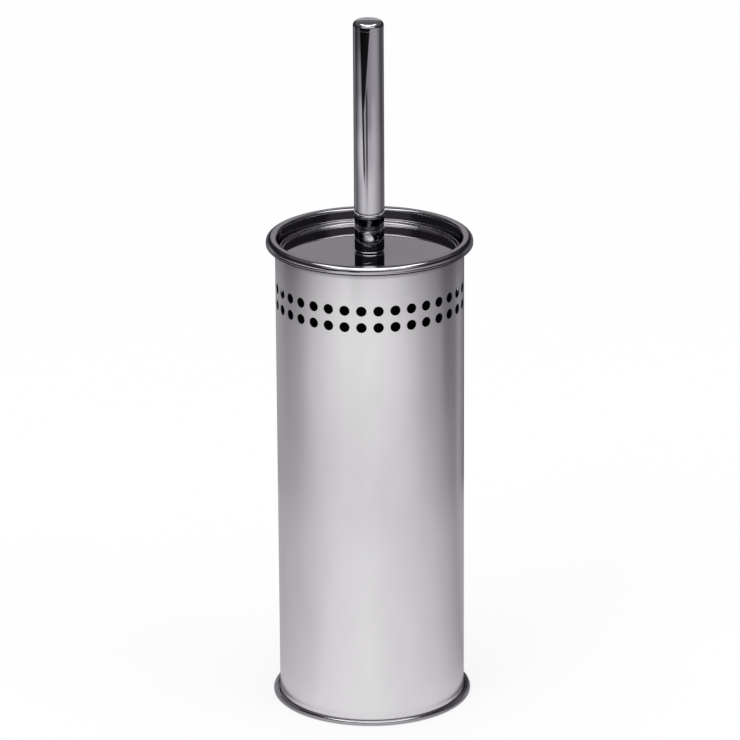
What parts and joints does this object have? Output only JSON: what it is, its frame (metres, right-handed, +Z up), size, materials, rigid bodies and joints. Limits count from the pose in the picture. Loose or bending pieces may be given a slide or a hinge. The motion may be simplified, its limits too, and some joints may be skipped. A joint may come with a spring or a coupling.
{
  "type": "toilet brush holder",
  "caption": "Free-standing toilet brush in a tall steel canister with air holes; the recessed lid lifts out with the brush and a drip liner stands inside.",
  "frame": {"origin": "centre of the base on the floor", "axes": "+Z up along the canister's axis; the front of the hole pattern faces -Y"},
  "size_m": [0.1096, 0.1096, 0.3762],
  "materials": {
    "satin_steel": "satin, fine vertical polish",
    "polished_steel": "mirror polished",
    "handle_chrome": "mirror",
    "zinc_steel": "zinc plated",
    "black_plastic": "moulded, fine grain",
    "liner_plastic": "moulded, satin",
    "bristle": "stiff filament"
  },
  "bodies": {
    "canister": {"canister_shell": "satin_steel", "base_pan": "polished_steel", "collar_ring": "polished_steel"},
    "liner": {"drip_liner": "liner_plastic"},
    "lid": {"lid_plate": "polished_steel"},
    "brush": {"handle_tube": "handle_chrome", "handle_cap": "handle_chrome", "ferrule": "handle_chrome", "threaded_rod": "zinc_steel", "lid_washer": "zinc_steel", "lock_nut": "zinc_steel", "stem": "black_plastic", "head_core": "black_plastic", "tuft_ring_01": "bristle", "tuft_ring_02": "bristle", "tuft_ring_03": "bristle", "tuft_ring_04": "bristle", "tuft_ring_05": "bristle", "tuft_ring_06": "bristle", "tuft_ring_07": "bristle", "tuft_ring_08": "bristle", "tuft_ring_09": "bristle", "tuft_ring_10": "bristle", "tuft_ring_11": "bristle", "nose_tufts": "bristle"}
  },
  "joints": [
    {"name": "liner_lift", "type": "slide", "parent": "canister", "child": "liner", "axis": [0, 0, 1], "range_m": [0, 0.26]},
    {"name": "lid_lift", "type": "slide", "parent": "liner", "child": "lid", "axis": [0, 0, 1], "range_m": [0, 0.25]},
    {"name": "brush_spin", "type": "hinge", "parent": "lid", "child": "brush", "pos_m": [0, 0, 0.25], "axis": [0, 0, 1], "continuous": true}
  ]
}
